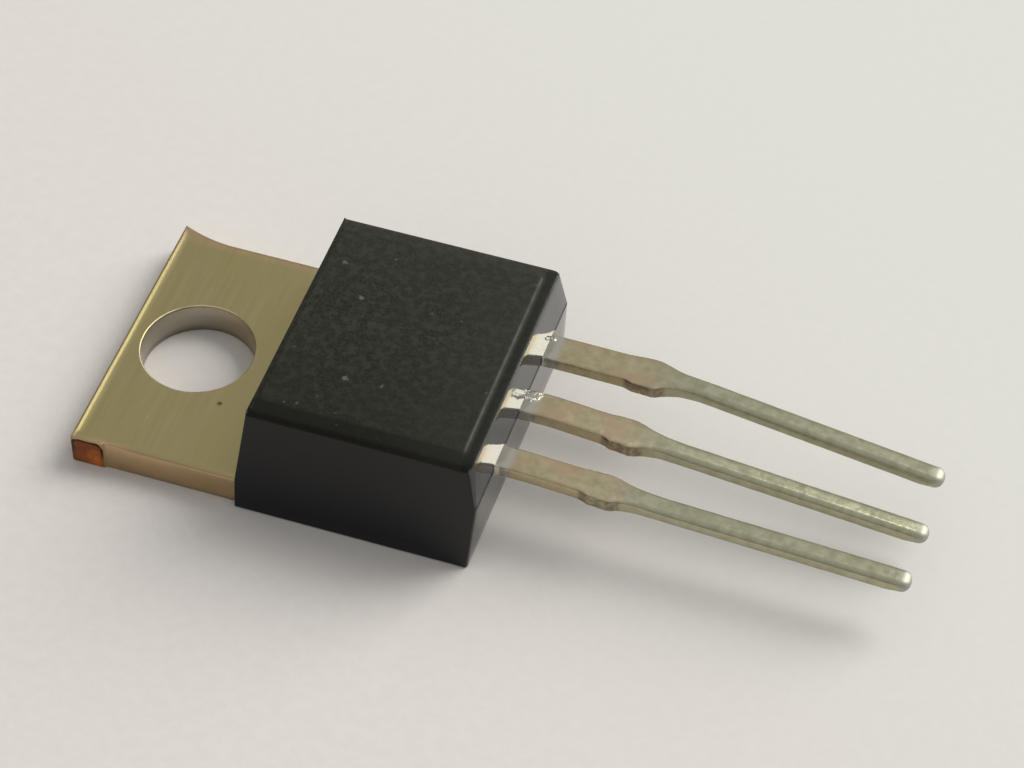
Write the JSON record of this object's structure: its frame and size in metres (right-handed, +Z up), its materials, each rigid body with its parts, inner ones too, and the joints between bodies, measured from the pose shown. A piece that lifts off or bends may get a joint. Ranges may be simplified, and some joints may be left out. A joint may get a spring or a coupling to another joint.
{
  "type": "triac",
  "caption": "Triac in a flat moulded power package: a metal tab with a screw hole at one end, straight leads at the other.",
  "frame": {"origin": "axis of the tab's screw hole, on the tab's underside", "axes": "+X from the tab towards the leads, +Y across the tab towards the gate lead, +Z up from the underside to the top of the plastic"},
  "size_m": [0.0281, 0.0105, 0.0044],
  "materials": {
    "body_plastic": "moulded epoxy, matt on the top field and glossy at the sides",
    "plated_tab": "satin plating over copper",
    "tinned_lead": "dull tin over copper",
    "copper": "bare copper",
    "solder": "dull solder",
    "silicon": "polished silicon"
  },
  "bodies": {
    "root": {"heatsink_tab": "plated_tab", "mt1_lead": "tinned_lead", "gate_lead": "tinned_lead", "chip_solder": "solder", "triac_chip": "silicon", "mt1_chip_solder": "solder", "mt1_clip": "copper", "mt1_post_solder": "solder", "gate_chip_solder": "solder", "gate_clip": "copper", "gate_post_solder": "solder", "moulded_body": "body_plastic"}
  },
  "joints": []
}
